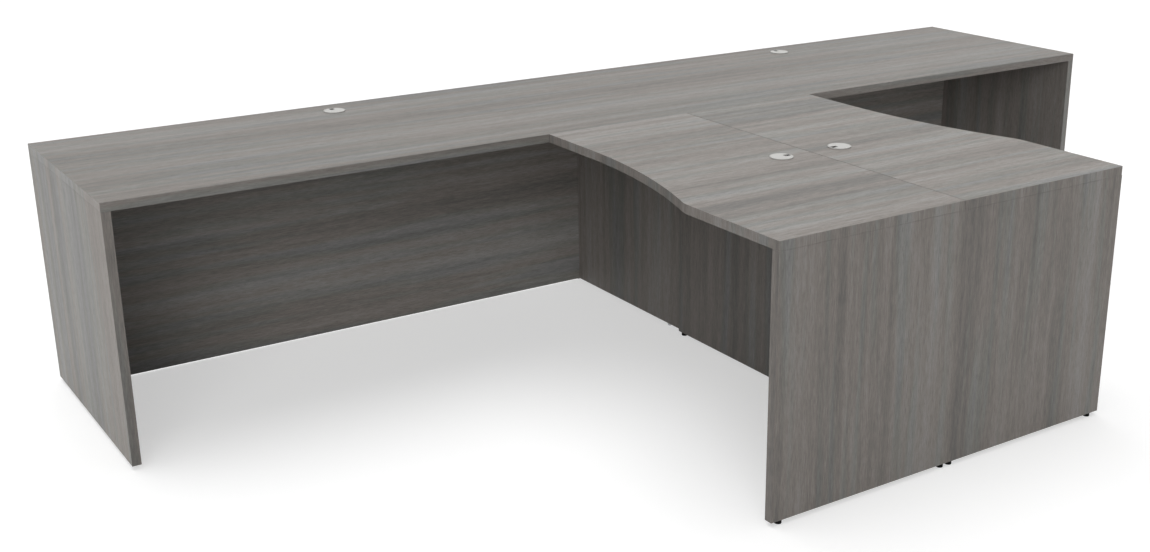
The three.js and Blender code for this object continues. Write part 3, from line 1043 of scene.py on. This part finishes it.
class DESK_OT_cam_caps(bpy.types.Operator):
    """Make the caps over the cam fittings, on faces turned to the rear"""

    bl_idname = "desk.cam_caps"
    bl_label = "Cam Caps"

    def execute(self, context):
        look = context.scene.desk_fittings
        plastic = shared("Cam Cap Plastic", moulded, tint=look.cap_grey, roughness=0.5, cast_depth=0.00002)
        radius, height = look.cam_cap
        crown = 0.6 * height
        for node in [*BACK_PANELS, *RETURN_END_PANELS]:
            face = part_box(node)[1].y
            for number, (x, z) in enumerate(self.places(look, node), start=1):
                form = Form()
                outline = circle(radius, steps=40, middle=(z, x))
                prism(form, [outline], face + SEAT_GAP, face + height, crown, axis=1)
                name = f"{node}_cam_cap_{number}"
                make_piece(name, form, [plastic], node, replaces=False)
        return {"FINISHED"}

    def places(self, look, node):
        """Along the top of a panel, and on a back panel also up its two ends."""
        low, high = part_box(node)
        edge = look.cam_inset
        if node in BACK_PANELS:
            shares, heights = (0.3, 0.7), (0.08, 0.38)
            first, last = low.x + edge, high.x - edge
            inner = (low.x + (high.x - low.x) * share for share in shares)
            top = [(x, high.z - edge) for x in (first, *inner, last)]
            return top + [(x, low.z + height) for x in (first, last) for height in heights]
        inner, outer = sorted((abs(low.x), abs(high.x)))
        outward = 1 if high.x > -low.x else -1
        along = (outward * (inner + look.seam_inset), outward * (outer - look.corner_inset))
        return [(x, high.z - edge) for x in along]


class DESK_OT_stage(bpy.types.Operator):
    """Make the floor, the lights, the even sky and the camera"""

    bl_idname = "desk.stage"
    bl_label = "Stage"

    def execute(self, context):
        look = context.scene.desk_stage
        self.make_floor(look)
        self.make_sky(context, look)
        self.make_sun("top_light", look.top_light, look.top_strength)
        self.make_sun("front_light", look.front_light, look.front_strength)
        self.make_panel(look)
        self.make_camera(context, look)
        context.scene.view_settings.view_transform = "Standard"
        return {"FINISHED"}

    def make_floor(self, look):
        form = Form()
        form.face(form.ring([point.to_3d() for point in circle(look.floor_radius, steps=96)]), 0)
        material = shared("Pale Floor", pale_floor, look=look)
        add_object("floor", form.mesh("floor", [material]))

    def make_sky(self, context, look):
        """Even light all round, and white where the camera sees past the floor."""
        world = bpy.data.worlds.new("Even Sky")
        world.use_nodes = True
        tree = world.node_tree
        tree.nodes.clear()
        white = {"Color": (1, 1, 1, 1), "Strength": 1.0}
        seen = add(tree, "Background", white)
        even = add(tree, "Background", {**white, "Strength": look.sky_strength})
        links = {0: seen_directly(tree), 1: even.outputs[0], 2: seen.outputs[0]}
        both = add(tree, "MixShader", links)
        add(tree, "OutputWorld", {"Surface": both.outputs[0]})
        context.scene.world = world

    def make_light(self, name, kind, strength, place, toward):
        """A light in its place, with its back to the given direction."""
        light = bpy.data.lights.new(name, kind)
        light.energy = strength
        lamp = add_object(name, light)
        lamp.location = place
        lamp.rotation_euler = toward.to_track_quat("Z", "Y").to_euler()
        return lamp

    def make_sun(self, name, aim, strength):
        bearing, height, spread = aim
        toward = Vector((cos(bearing) * cos(height), sin(bearing) * cos(height), sin(height)))
        distance = 8
        lamp = self.make_light(name, "SUN", strength, toward * distance, toward)
        lamp.data.angle = spread

    def make_panel(self, look):
        """A panel of light that faces the desk's left end and isn't seen itself."""
        place, left = look.panel_place, Vector((-1, 0, 0))
        lamp = self.make_light("side_light", "AREA", look.panel_strength, place, left)
        lamp.data.shape = "RECTANGLE"
        lamp.data.size, lamp.data.size_y = look.panel_size
        lamp.visible_camera = False
        lamp.visible_glossy = False

    def make_camera(self, context, look):
        data = bpy.data.cameras.new("camera")
        data.sensor_fit = "HORIZONTAL"
        data.lens = look.camera_lens
        data.shift_x, data.shift_y = look.camera_shift
        camera = add_object("camera", data)
        camera.location = look.camera_place
        camera.rotation_euler = look.camera_turn
        context.scene.camera = camera


def pale_floor(tree, surface, look):
    """Matt floor that keeps the desk's shadow and is lifted toward white where it is seen."""
    uneven = noise(tree, object_place(tree), scale=3.0)
    colours = ramp(tree, uneven, [(0.0, look.floor), (1.0, shaded(look.floor, 1.01))])
    dress(tree, surface, colours, roughness=1.0, gloss=0.0)
    strength = maths(tree, "MULTIPLY", seen_directly(tree), look.floor_glow)
    glow = add(tree, "Emission", {"Strength": strength})
    both = add(tree, "AddShader", {0: surface.outputs[0], 1: glow.outputs[0]})
    connect(tree, both.outputs[0], tree.nodes["Material Output"].inputs["Surface"])


def seen_directly(tree):
    """One for rays from the camera, in gloss and through glass, and nought for lighting rays."""
    path = add(tree, "LightPath")
    some = maths(tree, "MAXIMUM", path.outputs["Is Camera Ray"], path.outputs["Is Glossy Ray"])
    return maths(tree, "MAXIMUM", some, path.outputs["Is Transmission Ray"])


OPERATORS = (
    DESK_OT_worktops,
    DESK_OT_uprights,
    DESK_OT_back_panels,
    DESK_OT_grommets,
    DESK_OT_glides,
    DESK_OT_brackets,
    DESK_OT_cam_caps,
    DESK_OT_stage,
)
SETTINGS = {
    "desk_boards": DESK_PG_boards,
    "desk_laminate": DESK_PG_laminate,
    "desk_grommets": DESK_PG_grommets,
    "desk_glides": DESK_PG_glides,
    "desk_fittings": DESK_PG_fittings,
    "desk_stage": DESK_PG_stage,
}


class DESK_PT_builder(bpy.types.Panel):
    """Lists the steps that make the desk, and the sizes and colours behind them"""

    bl_idname = "DESK_PT_builder"
    bl_label = "Two-Person Desk"
    bl_space_type = "VIEW_3D"
    bl_region_type = "UI"
    bl_category = "Desk"

    def draw(self, context):
        for operator in OPERATORS:
            self.layout.operator(operator.bl_idname)
        for name, settings in SETTINGS.items():
            box = self.layout.box()
            box.label(text=name.replace("_", " ").title())
            for setting in settings.__annotations__:
                box.prop(getattr(context.scene, name), setting)


def register():
    for cls in (*SETTINGS.values(), *OPERATORS, DESK_PT_builder):
        bpy.utils.register_class(cls)
    for name, settings in SETTINGS.items():
        setattr(bpy.types.Scene, name, PointerProperty(type=settings))


def unregister():
    for name in SETTINGS:
        delattr(bpy.types.Scene, name)
    for cls in (DESK_PT_builder, *OPERATORS, *SETTINGS.values()):
        bpy.utils.unregister_class(cls)


def main():
    register()
    for operator in OPERATORS:
        group, name = operator.bl_idname.split(".")
        getattr(getattr(bpy.ops, group), name)()


if __name__ == "__main__":
    main()
